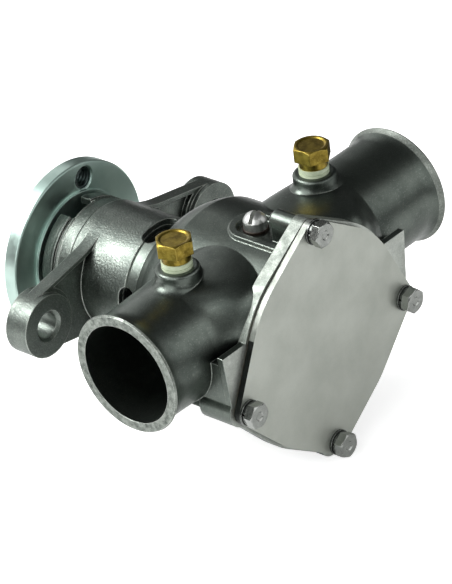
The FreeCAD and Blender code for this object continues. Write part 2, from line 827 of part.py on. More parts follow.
def vane(root_deg):
    """One rubber vane, bent further back where the cam squeezes it."""
    free = chamber_r - body_gap - vane_bulb_r
    tip_deg = root_deg + vane_lean_deg
    reach = cam_limit(tip_deg) - vane_bulb_r
    squeeze = max(0.0, free - reach)
    tip_deg += vane_squeeze_deg * squeeze
    reach = min(free, cam_limit(tip_deg) - vane_bulb_r)
    root = on_circle(impeller_hub_r - 1.5, root_deg)
    middle = on_circle((impeller_hub_r + reach) / 2 + 0.5, root_deg + 0.30 * (tip_deg - root_deg))
    tip = on_circle(reach, tip_deg)
    along = math.atan2(tip[1] - root[1], tip[0] - root[0])
    normal = (-math.sin(along), math.cos(along))
    sides = []
    for sign in (1, -1):
        line = []
        for place, wide in ((root, vane_root_wide), (middle, (vane_root_wide + vane_tip_wide) / 2),
                            (tip, vane_tip_wide)):
            line.append(vec(place[0] + sign * normal[0] * wide / 2, impeller_front,
                            place[1] + sign * normal[1] * wide / 2))
        sides.append(line)
    edges = [
        Part.Arc(sides[0][0], sides[0][1], sides[0][2]).toShape(),
        Part.makeLine(sides[0][2], sides[1][2]),
        Part.Arc(sides[1][2], sides[1][1], sides[1][0]).toShape(),
        Part.makeLine(sides[1][0], sides[0][0]),
    ]
    blade = slab(edges, impeller_front, impeller_back)
    return blade.fuse(rod(vane_bulb_r, impeller_front, impeller_back, tip[0], tip[1]))


def impeller():
    shape = rod(impeller_hub_r, impeller_front, impeller_back)
    pitch = 360.0 / vane_count
    for number in range(vane_count):
        shape = shape.fuse(vane(number * pitch + vane_start_deg))
    return shape.cut(rod(insert_r, impeller_front - 1, impeller_back + 1))


def key_box(radius, start, end):
    """Key lying along the shaft, half in the shaft and half in the hub."""
    return box(-key_wide / 2, key_wide / 2, start, end, radius - key_high / 2, radius + key_high / 2)


def impeller_key():
    return key_box(wet_shaft_r, impeller_front + key_end_gap, impeller_back - key_end_gap)


def impeller_insert():
    ring_room = snap_ring_front + snap_ring_thick + 0.1
    shape = tube(insert_r, wet_shaft_r + press_gap, impeller_front + 0.2, impeller_back - 0.2)
    shape = shape.cut(rod(wet_shaft_r + snap_ring_rise + body_gap, impeller_front - 1, ring_room))
    return shape.cut(key_box(wet_shaft_r, impeller_front - 1, impeller_back + 1))


def retaining_ring(outer, inner, start, thick, open_deg):
    """Snap ring with a gap."""
    half = ring_gap_deg / 2
    shape = tube(outer, inner, start, start + thick)
    return shape.cut(sector(outer + 4, open_deg - half, open_deg + half, start - 1, start + thick + 1))


def impeller_retaining_ring():
    return retaining_ring(wet_shaft_r + snap_ring_rise, wet_shaft_r - snap_ring_deep, snap_ring_front,
                          snap_ring_thick, 270)


def pump_shaft():
    nose = impeller_front + running_gap
    step = collar_start + 1.0
    collar_front = front_bearing_front - shaft_collar_wide
    tail = drive_back - body_gap
    thread_chamfer = shaft_chamfer + 0.1
    shape = turned([
        (0, nose), (wet_shaft_r - shaft_chamfer, nose), (wet_shaft_r, nose + 0.55),
        (wet_shaft_r, step), (bearing_shaft_r, step + 1.0), (bearing_shaft_r, collar_front),
        (shaft_collar_r, collar_front), (shaft_collar_r, front_bearing_front),
        (bearing_shaft_r, front_bearing_front), (bearing_shaft_r, rear_bearing_back),
        (flange_shaft_r, rear_bearing_back), (flange_shaft_r, nut_seat), (shaft_thread_r, nut_seat),
        (shaft_thread_r, tail - thread_chamfer), (shaft_thread_r - thread_chamfer, tail), (0, tail),
    ])
    shape = shape.cut(impeller_key())
    shape = shape.cut(flange_key())
    return shape.cut(tube(wet_shaft_r + 1, wet_shaft_r - snap_ring_deep, snap_ring_front,
                          snap_ring_front + snap_ring_thick))


def flange_key():
    return key_box(flange_shaft_r, hub_front + 0.6, nut_seat - 0.6)


def seal_seat():
    start = seal_cavity_back + seal_seat_set
    return tube(seal_seat_r, seal_seat_bore_r, start, seat_cup_back - seat_cup_floor)


def seal_seat_cup():
    """Rubber cup that holds the seal's fixed ring in the body."""
    shape = tube(seat_cup_r, seat_cup_bore_r, seal_cavity_back + seal_seat_set + 0.3, seat_cup_back)
    return shape.cut(rod(seal_seat_r, seal_cavity_back, seat_cup_back - seat_cup_floor))


def seal_face():
    """Carbon ring with a narrow nose that rubs on the fixed seat."""
    bore_r = wet_shaft_r + seal_face_gap
    shape = tube(seal_face_r, bore_r, seal_cavity_back - seal_face_thick, seal_cavity_back)
    return shape.fuse(tube(seal_nose_r, bore_r, seal_cavity_back, seal_cavity_back + seal_nose_length))


def seal_bellows():
    """Rubber bellows that turns with the shaft and pushes the seal's turning face."""
    start = seal_retainer_span()[1]
    end = seal_cavity_back - seal_face_thick
    waist = (start + end) / 2
    bore_r = wet_shaft_r + press_gap / 2
    return turned([
        (bore_r, start), (bellows_r, start), (bellows_r, start + bellows_end),
        (bellows_waist_r, waist - bellows_waist_half), (bellows_waist_r, waist + bellows_waist_half),
        (bellows_r, end - bellows_end), (bellows_r, end), (bore_r, end),
    ])


def seal_retainer_span():
    start = chamber_back + seal_retainer_set
    return start, start + seal_retainer_thick


def seal_retainer():
    """Pressed cup that holds the bellows and the spring's fixed end."""
    start, end = seal_retainer_span()
    shape = tube(seal_retainer_r, wet_shaft_r + press_gap / 2, start, end)
    inner_r = seal_retainer_r - seal_retainer_wall
    return shape.fuse(tube(seal_retainer_r, inner_r, end, end + seal_retainer_rim))


def seal_spring():
    """Coil spring round the bellows: level half turns joined by half turns that climb."""
    low = seal_retainer_span()[1] + spring_wire_r + running_gap
    high = seal_cavity_back - seal_face_thick - spring_wire_r - running_gap
    pitch = (high - low) / spring_turns
    lean = math.atan(pitch / (2 * spring_coil_r))
    shape = None
    centre = vec(0, 0, 0)
    for turn in range(spring_turns + 1):
        level = Part.makeTorus(spring_coil_r, spring_wire_r, centre, Z_AXIS, 0, 360, 180)
        level.translate(vec(0, 0, pitch * turn))
        shape = level if shape is None else shape.fuse(level)
        if turn < spring_turns:
            climb_r = spring_coil_r / math.cos(lean)
            climb = Part.makeTorus(climb_r, spring_wire_r, centre, Z_AXIS, 0, 360, 180)
            climb.rotate(centre, Z_AXIS, 180)
            climb.rotate(centre, Y_AXIS, -math.degrees(lean))
            climb.translate(vec(0, 0, pitch * (turn + 0.5)))
            shape = shape.fuse(climb)
    shape.rotate(centre, X_AXIS, -90)
    shape.translate(vec(0, low, 0))
    return shape.removeSplitter()


def seal_spring_plate():
    """Ring that carries the spring's thrust to the seal's turning face."""
    end = seal_cavity_back - body_gap
    return tube(spring_plate_r, seal_face_r + press_gap, seal_cavity_back - seal_face_thick, end)


def slinger_ring():
    """Rubber ring on the shaft that throws off drops before they reach the bearings."""
    middle = (collar_start + lip_seal_front) / 2 + slinger_disc_half
    root_r = slinger_foot_r + 0.3
    root_half = slinger_disc_half + 0.3
    return turned([
        (bearing_shaft_r, middle - slinger_half), (slinger_foot_r, middle - slinger_half),
        (root_r, middle - root_half), (slinger_r, middle - slinger_disc_half),
        (slinger_r, middle + slinger_disc_half), (root_r, middle + root_half),
        (slinger_foot_r, middle + slinger_half), (bearing_shaft_r, middle + slinger_half),
    ])


def lip_seal():
    """Shaft seal with its lip towards the pump."""
    start = lip_seal_front
    end = start + lip_seal_wide
    inside_r = lip_seal_r - lip_seal_wall
    lip_r = bearing_shaft_r + running_gap
    return turned([
        (lip_seal_r, start), (lip_seal_r, end), (lip_seal_rim_r, end), (lip_seal_rim_r, end - 1.0),
        (inside_r, end - 1.2), (inside_r, start + 2.4), (lip_seal_neck_r, start + 3.6), (lip_r, start + 2.2),
        (lip_seal_neck_r + 0.2, start + 0.4), (inside_r - 0.5, start),
    ])


def race(start):
    """Groove that the balls run in, shared by both rings of a bearing."""
    return Part.makeTorus(ball_circle_r, ball_r + race_gap, vec(0, start + bearing_wide / 2, 0), Y_AXIS)


def outer_ring(start):
    end = start + bearing_wide
    seat_r = outer_ring_bore_r + shield_groove
    shape = tube(bearing_r, outer_ring_bore_r, start, end)
    shape = shape.cut(rod(seat_r, start - 1, start + shield_land))
    shape = shape.cut(rod(seat_r, end - shield_land, end + 1))
    return shape.cut(race(start))


def inner_ring(start):
    return tube(inner_ring_r, bearing_shaft_r, start, start + bearing_wide).cut(race(start))


def ball_places():
    return [on_circle(ball_circle_r, 360.0 / ball_count * number) for number in range(ball_count)]


def bearing_balls(start):
    mid = start + bearing_wide / 2
    return Part.makeCompound([Part.makeSphere(ball_r, vec(x, mid, z)) for x, z in ball_places()])


def bearing_cage(start):
    """Ring between the balls, with a pocket bored through it for each."""
    mid = start + bearing_wide / 2
    reach = ball_circle_r + 2 * cage_half_wall
    shape = tube(ball_circle_r + cage_half_wall, ball_circle_r - cage_half_wall, mid - cage_half_wide,
                 mid + cage_half_wide)
    for x, z in ball_places():
        shape = shape.cut(Part.makeCylinder(ball_r + pocket_gap, reach, vec(0, mid, 0), vec(x, 0, z)))
    return shape


def bearing_shields(start):
    solids = []
    for face in (start + shield_set, start + bearing_wide - shield_set - shield_thick):
        solids.append(tube(outer_ring_bore_r + shield_groove, inner_ring_r + shield_gap, face,
                           face + shield_thick))
    return Part.makeCompound(solids)


def outer_spacer():
    inner_r = outer_ring_bore_r + shield_groove - 0.2
    return tube(bearing_r - running_gap, inner_r, front_bearing_back, rear_bearing_front)


def inner_spacer():
    outer_r = inner_ring_r - body_gap
    return tube(outer_r, bearing_shaft_r + press_gap, front_bearing_back, rear_bearing_front)


def bearing_retaining_ring():
    outer_r = bearing_r + retaining_ring_rise
    return retaining_ring(outer_r, outer_r - retaining_ring_wall, rear_bearing_back + running_gap,
                          retaining_ring_thick, 300)


def drive_flange():
    """Round flange on the shaft's end, its hub inside the rear of the bearing housing."""
    boss_front = flange_front - hub_face_rise
    edge_r = drive_flange_r - drive_edge
    shape = turned([
        (0, rear_bearing_back), (hub_nose_r, rear_bearing_back), (hub_nose_r, hub_front), (hub_r, hub_front),
        (hub_r, boss_front), (hub_face_r, boss_front), (hub_face_r, flange_front), (edge_r, flange_front),
        (drive_flange_r, flange_front + drive_edge), (drive_flange_r, drive_back - drive_edge),
        (edge_r, drive_back), (0, drive_back),
    ])
    shape = shape.cut(rod(flange_shaft_r + press_gap / 2, rear_bearing_back - 1, drive_back + 1))
    shape = shape.cut(rod(nut_recess_r, nut_seat, drive_back + 1))
    for number in range(drive_hole_count):
        x, z = on_circle(drive_hole_circle_r, drive_hole_start_deg + 360.0 / drive_hole_count * number)
        shape = shape.cut(rod(drive_hole_r, flange_front - 2, drive_back + 1, x, z))
        for face, inward in ((flange_front, 1), (drive_back, -1)):
            mouth = Part.makeCone(drive_hole_r + drive_edge, drive_hole_r, drive_edge, vec(x, face, z),
                                  vec(0, inward, 0))
            shape = shape.cut(mouth)
    return shape.cut(key_box(flange_shaft_r, rear_bearing_back - 0.4, drive_back))


def flange_washer():
    return tube(nut_washer_r, shaft_thread_r + 0.2, nut_seat, nut_seat + nut_washer_thick)


def flange_nut():
    start = nut_seat + nut_washer_thick
    end = start + nut_height
    crown_slope = 1.6
    shape = hexagon(nut_flats, start, end)
    crown = Part.makeCone(nut_flats / 2 + nut_height * crown_slope, nut_flats / 2, nut_height,
                          vec(0, start, 0), Y_AXIS)
    return shape.common(crown).cut(rod(shaft_thread_r + press_gap, start - 1, end + 1))


def port_plug(side, turn_deg):
    """Brass plug with a dished hexagon, a round collar and a short thread."""
    x = side * plug_x
    corner = plug_flats / 2 / math.cos(math.pi / 6)
    points = []
    for step in range(6):
        dx, dy = on_circle(corner, turn_deg + 60 * step)
        points.append(vec(x + dx, port_y + dy, plug_hex_low))
    head = Part.Face(Part.makePolygon(points + points[:1])).extrude(vec(0, 0, plug_hex_height))
    crown_r = plug_flats / 2 - plug_crown_inset
    crown = Part.makeCone(crown_r + plug_hex_height * plug_crown_slope, crown_r, plug_hex_height,
                          vec(x, port_y, plug_hex_low), Z_AXIS)
    dish = Part.makeCone(plug_dish_r - plug_dish_taper, plug_dish_r, plug_dish_deep,
                         vec(x, port_y, plug_top - plug_dish_deep), Z_AXIS)
    head = head.common(crown).cut(dish)
    collar = post(plug_collar_r, plug_boss_top + plug_washer_thick, plug_hex_low + 0.6, x, port_y)
    thread = post(plug_thread_r, plug_boss_top - plug_thread_length, plug_hex_low, x, port_y)
    return head.fuse(collar).fuse(thread)


def plug_washer(side):
    """Thick sealing washer with a fine groove round its edge."""
    x = side * plug_x
    high = plug_boss_top + plug_washer_thick
    groove_low = plug_boss_top + plug_washer_thick * 0.35
    groove_high = groove_low + plug_washer_groove
    washer = post(plug_washer_r, plug_boss_top, high, x, port_y)
    ring = post(plug_washer_r + 1, groove_low, groove_high, x, port_y)
    ring = ring.cut(post(plug_washer_r - 0.35, groove_low - 1, groove_high + 1, x, port_y))
    return washer.cut(ring).cut(post(plug_thread_r + 0.1, plug_boss_top - 1, high + 1, x, port_y))


def save(name, shape):
    shape = shape.copy()
    shape.translate(vec(0, -ear_plane, 0))
    shape.exportStep("parts/" + name + ".step")


def build():
    os.makedirs("parts", exist_ok=True)
    save("pump_body", pump_body())
    save("bearing_housing", bearing_housing())
    save("cover_plate", cover_plate())
    save("cover_gasket", cover_gasket())
    save("cover_bolts", cover_bolts())
    save("cover_flat_washers", washer_set(flat_washer_r, -flat_washer_thick, flat_washer_thick))
    save("cover_spring_washers", washer_set(spring_washer_r, -flat_washer_thick - spring_washer_thick,
                                            spring_washer_thick, spring_washer_gap))
    save("cam", cam())
    save("cam_screw", cam_screw())
    save("cam_screw_washer", cam_screw_washer())
    save("wear_plate", wear_plate())
    save("wear_plate_pin", wear_plate_pin())
    save("impeller", impeller())
    save("impeller_insert", impeller_insert())
    save("impeller_key", impeller_key())
    save("impeller_retaining_ring", impeller_retaining_ring())
    save("pump_shaft", pump_shaft())
    save("seal_seat", seal_seat())
    save("seal_seat_cup", seal_seat_cup())
    save("seal_face", seal_face())
    save("seal_bellows", seal_bellows())
    save("seal_retainer", seal_retainer())
    save("seal_spring", seal_spring())
    save("seal_spring_plate", seal_spring_plate())
    save("slinger_ring", slinger_ring())
    save("lip_seal", lip_seal())
    for place, start in (("front", front_bearing_front), ("rear", rear_bearing_front)):
        save(place + "_bearing_outer_ring", outer_ring(start))
        save(place + "_bearing_inner_ring", inner_ring(start))
        save(place + "_bearing_balls", bearing_balls(start))
        save(place + "_bearing_cage", bearing_cage(start))
        save(place + "_bearing_shields", bearing_shields(start))
    save("bearing_outer_spacer", outer_spacer())
    save("bearing_inner_spacer", inner_spacer())
    save("bearing_retaining_ring", bearing_retaining_ring())
    save("drive_flange", drive_flange())
    save("drive_flange_key", flange_key())
    save("drive_flange_washer", flange_washer())
    save("drive_flange_nut", flange_nut())
    for place, side, turn_deg in (("left", -1, left_plug_turn_deg), ("right", 1, right_plug_turn_deg)):
        save(place + "_port_plug", port_plug(side, turn_deg))
        save(place + "_plug_washer", plug_washer(side))


build()
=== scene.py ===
import math

import bpy
from mathutils import Matrix, Vector


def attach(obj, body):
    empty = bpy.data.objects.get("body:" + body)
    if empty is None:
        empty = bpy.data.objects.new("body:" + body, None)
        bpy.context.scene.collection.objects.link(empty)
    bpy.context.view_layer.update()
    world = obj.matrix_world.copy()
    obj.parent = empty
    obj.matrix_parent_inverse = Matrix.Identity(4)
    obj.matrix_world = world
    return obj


# Looks for the flexible-impeller water pump. Metres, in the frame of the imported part.
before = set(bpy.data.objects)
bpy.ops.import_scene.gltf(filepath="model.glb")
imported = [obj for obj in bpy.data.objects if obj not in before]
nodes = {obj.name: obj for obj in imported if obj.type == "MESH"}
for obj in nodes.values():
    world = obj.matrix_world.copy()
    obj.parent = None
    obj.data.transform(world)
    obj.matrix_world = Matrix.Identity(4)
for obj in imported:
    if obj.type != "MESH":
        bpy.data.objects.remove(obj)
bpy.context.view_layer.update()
print("loaded", len(nodes), "pieces")


# Linear colour from an sRGB hex value
def linear(hexColour):
    channels = [int(hexColour[i:i + 2], 16) / 255 for i in (1, 3, 5)]
    out = [c / 12.92 if c <= 0.04045 else ((c + 0.055) / 1.055) ** 2.4 for c in channels]
    return (*out, 1.0)


# New node with its settings and the values or links of its inputs
def addNode(tree, kind, inputs=None, **settings):
    node = tree.nodes.new(kind)
    for name, value in settings.items():
        setattr(node, name, value)
    for name, value in (inputs or {}).items():
        if isinstance(value, bpy.types.NodeSocket):
            tree.links.new(value, node.inputs[name])
        else:
            node.inputs[name].default_value = value
    return node


# What all finishes share: the noises' detail, and the part of a noise over which each change runs,
# the painted shade of hollows and the painted edge highlight among them
patterns = {"grainDetail": 2.0, "blotchDetail": 3.0, "noiseRoughness": 0.55, "softSamples": 6,
            "tintSpan": {"From Min": 0.35, "From Max": 0.68},
            "speckleSpan": {"From Min": 0.34, "From Max": 0.66},
            "paintedShadeSpan": {"From Min": 0.35, "From Max": 0.9},
            "raggedSpan": {"From Min": 0.35, "From Max": 0.65, "To Min": -0.05, "To Max": 0.05},
            "wearSpan": {"From Min": 0.98, "From Max": 0.88},
            "roughSpan": {"From Min": 0.75, "From Max": 1.25}}


# Material from a look. A fine grain and wide blotches, both in real millimetres, vary its colour,
# roughness and relief. Hollows can be darkened as painted shade, and edges can be soft and painted
# bright, partly as wear and partly as painted highlight.
def surface(name, look):
    material = bpy.data.materials.new(name)
    material.use_nodes = True
    tree = material.node_tree
    shader = tree.nodes["Principled BSDF"]
    shader.inputs["Metallic"].default_value = look["metallic"]

    place = addNode(tree, "ShaderNodeTexCoord").outputs["Object"]
    grain = addNode(tree, "ShaderNodeTexNoise", {
        "Vector": place, "Scale": 1000 / look["grainMm"], "Detail": patterns["grainDetail"],
        "Roughness": patterns["noiseRoughness"]}).outputs["Fac"]
    blotch = addNode(tree, "ShaderNodeTexNoise", {
        "Vector": place, "Scale": 1000 / look["blotchMm"], "Detail": patterns["blotchDetail"],
        "Roughness": patterns["noiseRoughness"]}).outputs["Fac"]
    tinted = addNode(tree, "ShaderNodeMapRange", {
        "Value": blotch, **patterns["tintSpan"]}).outputs["Result"]
    paint = addNode(tree, "ShaderNodeMix", {
        0: tinted, 6: linear(look["colour"]), 7: linear(look["tint"])}, data_type="RGBA").outputs[2]
    speckle = look.get("speckle", 0.0)
    shade = addNode(tree, "ShaderNodeMapRange", {
        "Value": grain, **patterns["speckleSpan"],
        "To Min": 1 - speckle, "To Max": 1 + speckle}).outputs["Result"]
    paint = addNode(tree, "ShaderNodeVectorMath", {0: paint, "Scale": shade},
                    operation="SCALE").outputs[0]
    # Painted shade: the colour is darkened where ambient occlusion finds the surface hemmed in
    if "paintedShadeMm" in look:
        openness = addNode(tree, "ShaderNodeAmbientOcclusion", {"Distance": look["paintedShadeMm"] / 1000},
                           samples=patterns["softSamples"], only_local=True).outputs["AO"]
        paintedShadeFactor = addNode(tree, "ShaderNodeMapRange", {
            "Value": openness, **patterns["paintedShadeSpan"], "To Min": look["paintedShadeFloor"]}).outputs["Result"]
        paint = addNode(tree, "ShaderNodeVectorMath", {0: paint, "Scale": paintedShadeFactor},
                        operation="SCALE").outputs[0]

    relief = {"Distance": look["bumpMm"] / 1000, "Height": grain}
    if "edgeMm" in look:
        softEdge = addNode(tree, "ShaderNodeBevel", {"Radius": look["edgeMm"] / 1000},
                           samples=patterns["softSamples"]).outputs["Normal"]
        relief["Normal"] = softEdge
        # Edges are painted towards a bright bare colour, as wear and as painted highlight, where the
        # rounded normal turns from the flat one
        flat = addNode(tree, "ShaderNodeNewGeometry").outputs["Normal"]
        turned = addNode(tree, "ShaderNodeVectorMath", {0: softEdge, 1: flat},
                         operation="DOT_PRODUCT").outputs["Value"]
        ragged = addNode(tree, "ShaderNodeMapRange", {
            "Value": grain, **patterns["raggedSpan"]}).outputs["Result"]
        uneven = addNode(tree, "ShaderNodeMath", {0: turned, 1: ragged},
                         operation="ADD").outputs["Value"]
        wear = addNode(tree, "ShaderNodeMapRange", {
            "Value": uneven, **patterns["wearSpan"], "To Max": look["wear"]}).outputs["Result"]
        paint = addNode(tree, "ShaderNodeMix", {0: wear, 6: paint, 7: linear(look["bareAndHighlight"])},
                        data_type="RGBA").outputs[2]
    tree.links.new(paint, shader.inputs["Base Color"])

    both = addNode(tree, "ShaderNodeMath", {0: grain, 1: blotch}, operation="ADD").outputs["Value"]
    smoothest, roughest = look["roughness"]
    rough = addNode(tree, "ShaderNodeMapRange", {
        "Value": both, **patterns["roughSpan"],
        "To Min": smoothest, "To Max": roughest}).outputs["Result"]
    tree.links.new(rough, shader.inputs["Roughness"])
    bump = addNode(tree, "ShaderNodeBump", relief).outputs["Normal"]
    tree.links.new(bump, shader.inputs["Normal"])
    return material


# Dark conversion-coated cast aluminium: smooth enough on the ports for clear dark reflections,
# with a fine grain, edges painted bright as wear and painted highlight, and painted shade in hollows
castLook = {"colour": "#666d67", "tint": "#535a55", "metallic": 1.0, "roughness": (0.29, 0.40),
            "speckle": 0.14, "grainMm": 0.8, "blotchMm": 14.0, "bumpMm": 0.05,
            "edgeMm": 0.7, "wear": 0.6, "bareAndHighlight": "#aab1a9", "paintedShadeMm": 7.0, "paintedShadeFloor": 0.35}
castAluminium = surface("dark_coated_cast_aluminium", castLook)

# The same casting with the coarser sand grain of the bearing housing, which breaks up its highlights,
# and the same painted edge highlight with wear and painted shade in hollows
coarseCastLook = {"colour": "#717872", "tint": "#5d645f", "metallic": 1.0, "roughness": (0.30, 0.46),
                  "speckle": 0.28, "grainMm": 0.9, "blotchMm": 9.0, "bumpMm": 0.16,
                  "edgeMm": 0.8, "wear": 0.8, "bareAndHighlight": "#bcc2ba", "paintedShadeMm": 7.0, "paintedShadeFloor": 0.3}
coarseCast = surface("coarse_cast_aluminium", coarseCastLook)

# Filed port rim: mid grey where the file went through the coat, its edges painted bright as wear and
# painted highlight
filedLook = {"colour": "#8f958e", "tint": "#555b56", "metallic": 1.0, "roughness": (0.30, 0.46),
             "speckle": 0.2, "grainMm": 0.8, "blotchMm": 2.4, "bumpMm": 0.08,
             "edgeMm": 0.35, "wear": 0.8, "bareAndHighlight": "#d6dad3"}
filedCast = surface("filed_cast_aluminium", filedLook)

# Milled cast aluminium: bare and pale, with short cutter marks
milledLook = {"colour": "#bfc4bd", "tint": "#a9aea8", "metallic": 1.0, "roughness": (0.40, 0.56),
              "speckle": 0.12, "grainMm": 0.6, "blotchMm": 8.0, "bumpMm": 0.08}
milledAluminium = surface("milled_cast_aluminium", milledLook)

# Sawn edge of the flange: half bare, with short streaks, its edges painted brighter as wear and painted
# highlight
sawnLook = {"colour": "#949a93", "tint": "#767c76", "metallic": 1.0, "roughness": (0.38, 0.54),
            "speckle": 0.3, "grainMm": 0.6, "blotchMm": 5.0, "bumpMm": 0.10,
            "edgeMm": 0.3, "wear": 0.4, "bareAndHighlight": "#c4c9c2"}
sawnCast = surface("sawn_cast_edge", sawnLook)

# Satin zinc-plated steel of the cover: even light grey with faint marks
coverLook = {"colour": "#c0c4bc", "tint": "#b3b7af", "metallic": 1.0, "roughness": (0.44, 0.54),
             "grainMm": 0.7, "blotchMm": 24.0, "bumpMm": 0.012}
coverSteel = surface("satin_zinc_steel", coverLook)

# Sheared edge of the cover: bare steel, so it mirrors what lies beside it
shearedLook = {"colour": "#8b8f89", "tint": "#757973", "metallic": 1.0, "roughness": (0.32, 0.44),
               "speckle": 0.1, "grainMm": 0.7, "blotchMm": 6.0, "bumpMm": 0.02}
shearedSteel = surface("sheared_zinc_steel", shearedLook)

# The same edge below the tops of the flat corners, painted dark: painted shade for the seam, where that
# edge lies in shadow
seamShadeLook = {"colour": "#2c2f2d", "tint": "#1e201f", "metallic": 1.0, "roughness": (0.32, 0.44),
             "speckle": 0.1, "grainMm": 0.7, "blotchMm": 6.0, "bumpMm": 0.02}
paintedSeamShade = surface("sheared_steel_painted_shade", seamShadeLook)

# Blue-passivated zinc on turned steel: a cool green-grey with a clear sheen and soft edges
flangeLook = {"colour": "#bed3cb", "tint": "#a7bfb7", "metallic": 1.0, "roughness": (0.29, 0.38),
              "grainMm": 2.2, "blotchMm": 18.0, "bumpMm": 0.01,
              "edgeMm": 0.5, "wear": 0.0, "bareAndHighlight": "#bed3cb"}
flangeSteel = surface("blue_zinc_steel", flangeLook)

# Thread flanks of the tapped holes: the same zinc, painted dark as painted shade inside the holes
threadShadeLook = {"colour": "#4a5654", "tint": "#2c3433", "metallic": 1.0, "roughness": (0.30, 0.42),
              "grainMm": 0.6, "blotchMm": 2.5, "bumpMm": 0.008}
threadShadeSteel = surface("thread_steel_painted_shade", threadShadeLook)

# Turned brass that has dulled in store: warm and a little cloudy, its edges painted bright as wear and
# painted highlight
brassLook = {"colour": "#a38e3f", "tint": "#6f5e25", "metallic": 1.0, "roughness": (0.29, 0.38),
             "grainMm": 0.8, "blotchMm": 4.0, "bumpMm": 0.02,
             "edgeMm": 0.4, "wear": 0.6, "bareAndHighlight": "#d9c46c"}
brass = surface("dulled_brass", brassLook)

# Fibre sealing washer: matte with a faint green cast
fibreLook = {"colour": "#c3ceb2", "tint": "#a9b699", "metallic": 0.0, "roughness": (0.5, 0.65),
             "grainMm": 0.5, "blotchMm": 3.0, "bumpMm": 0.02}
fibre = surface("sealing_fibre", fibreLook)

# Cold-headed stainless steel: light grey, with clear reflections on the flats and its edges painted
# lighter as wear and painted highlight
stainlessLook = {"colour": "#a0a39f", "tint": "#8b8e8a", "metallic": 1.0, "roughness": (0.17, 0.26),
                 "grainMm": 0.8, "blotchMm": 3.0, "bumpMm": 0.02,
                 "edgeMm": 0.3, "wear": 0.5, "bareAndHighlight": "#c9ccc8"}
stainless = surface("cold_headed_stainless", stainlessLook)

# Spring steel of the washers: dark with oil, its edges painted bright as wear and painted highlight
oiledLook = {"colour": "#5c5f5c", "tint": "#3d403e", "metallic": 1.0, "roughness": (0.18, 0.26),
             "grainMm": 0.8, "blotchMm": 3.0, "bumpMm": 0.01,
             "edgeMm": 0.3, "wear": 0.5, "bareAndHighlight": "#b4b7b3"}
oiledSteel = surface("oiled_spring_steel", oiledLook)

# Stainless steel of the cam screw, its polish dulled by handling: bright, with broad highlights
brightLook = {"colour": "#dcdedb", "tint": "#c6c8c5", "metallic": 1.0, "roughness": (0.34, 0.44),
              "grainMm": 0.6, "blotchMm": 3.0, "bumpMm": 0.005}
brightStainless = surface("polished_stainless", brightLook)

# Copper sealing washer gone brown
copperLook = {"colour": "#453a32", "tint": "#332b27", "metallic": 0.9, "roughness": (0.38, 0.52),
              "grainMm": 0.5, "blotchMm": 2.0, "bumpMm": 0.01}
copper = surface("browned_copper", copperLook)

# Machined gunmetal bronze of cam and impeller insert: yellow-brown with fine tool marks
bronzeLook = {"colour": "#a5824a", "tint": "#8c6d3e", "metallic": 1.0, "roughness": (0.30, 0.42),
              "grainMm": 0.8, "blotchMm": 6.0, "bumpMm": 0.012}
bronze = surface("machined_bronze", bronzeLook)

# Moulded nitrile rubber: dead matte black with a soft bloom
rubberLook = {"colour": "#161616", "tint": "#1f1f1e", "metallic": 0.0, "roughness": (0.55, 0.75),
              "grainMm": 0.9, "blotchMm": 6.0, "bumpMm": 0.015}
rubber = surface("nitrile_rubber", rubberLook)

# Ground bearing steel: bright and smooth
bearingLook = {"colour": "#a9abad", "tint": "#9b9da0", "metallic": 1.0, "roughness": (0.14, 0.24),
               "grainMm": 0.4, "blotchMm": 5.0, "bumpMm": 0.004}
bearingSteel = surface("ground_bearing_steel", bearingLook)

# Glass-filled nylon of the bearing cages: dark with a slight grain
nylonLook = {"colour": "#2a2724", "tint": "#36322e", "metallic": 0.0, "roughness": (0.4, 0.55),
             "grainMm": 0.5, "blotchMm": 3.0, "bumpMm": 0.01}
nylon = surface("filled_nylon", nylonLook)

# Lapped alumina ceramic: creamy and glossy
ceramicLook = {"colour": "#e6e2d6", "tint": "#ded9ca", "metallic": 0.0, "roughness": (0.12, 0.2),
               "grainMm": 0.5, "blotchMm": 4.0, "bumpMm": 0.003}
ceramic = surface("lapped_ceramic", ceramicLook)

# Lapped carbon: black with a graphite sheen
carbonLook = {"colour": "#26272a", "tint": "#303135", "metallic": 0.0, "roughness": (0.3, 0.4),
              "grainMm": 0.4, "blotchMm": 3.0, "bumpMm": 0.004}
carbon = surface("lapped_carbon", carbonLook)

# Pressed fibre gasket paper: brown and matte
gasketLook = {"colour": "#4a3f31", "tint": "#3b3228", "metallic": 0.0, "roughness": (0.7, 0.85),
              "grainMm": 0.4, "blotchMm": 3.0, "bumpMm": 0.02}
gasketPaper = surface("gasket_paper", gasketLook)
print("mixed the finishes", len(bpy.data.materials))

# Pieces of each finish. Whatever isn't named here is ground bearing steel.
dressing = {
    castAluminium: ["pump_body"],
    coarseCast: ["bearing_housing"],
    coverSteel: ["cover_plate"],
    gasketPaper: ["cover_gasket"],
    stainless: ["cover_bolts", "wear_plate", "wear_plate_pin", "impeller_key",
                "impeller_retaining_ring", "pump_shaft", "seal_retainer", "seal_spring",
                "seal_spring_plate"],
    oiledSteel: ["cover_flat_washers", "cover_spring_washers"],
    brightStainless: ["cam_screw"],
    copper: ["cam_screw_washer"],
    bronze: ["cam", "impeller_insert"],
    rubber: ["impeller", "seal_seat_cup", "seal_bellows", "slinger_ring", "lip_seal"],
    ceramic: ["seal_seat"],
    carbon: ["seal_face"],
    nylon: ["front_bearing_cage", "rear_bearing_cage"],
    flangeSteel: ["drive_flange", "drive_flange_washer", "drive_flange_nut"],
    brass: ["left_port_plug", "right_port_plug"],
    fibre: ["left_plug_washer", "right_plug_washer"],
}
finishOf = {name: material for material, names in dressing.items() for name in names}
for name, node in nodes.items():
    node.data.materials.clear()
    node.data.materials.append(finishOf.get(name, bearingSteel))
print("dressed the pieces")

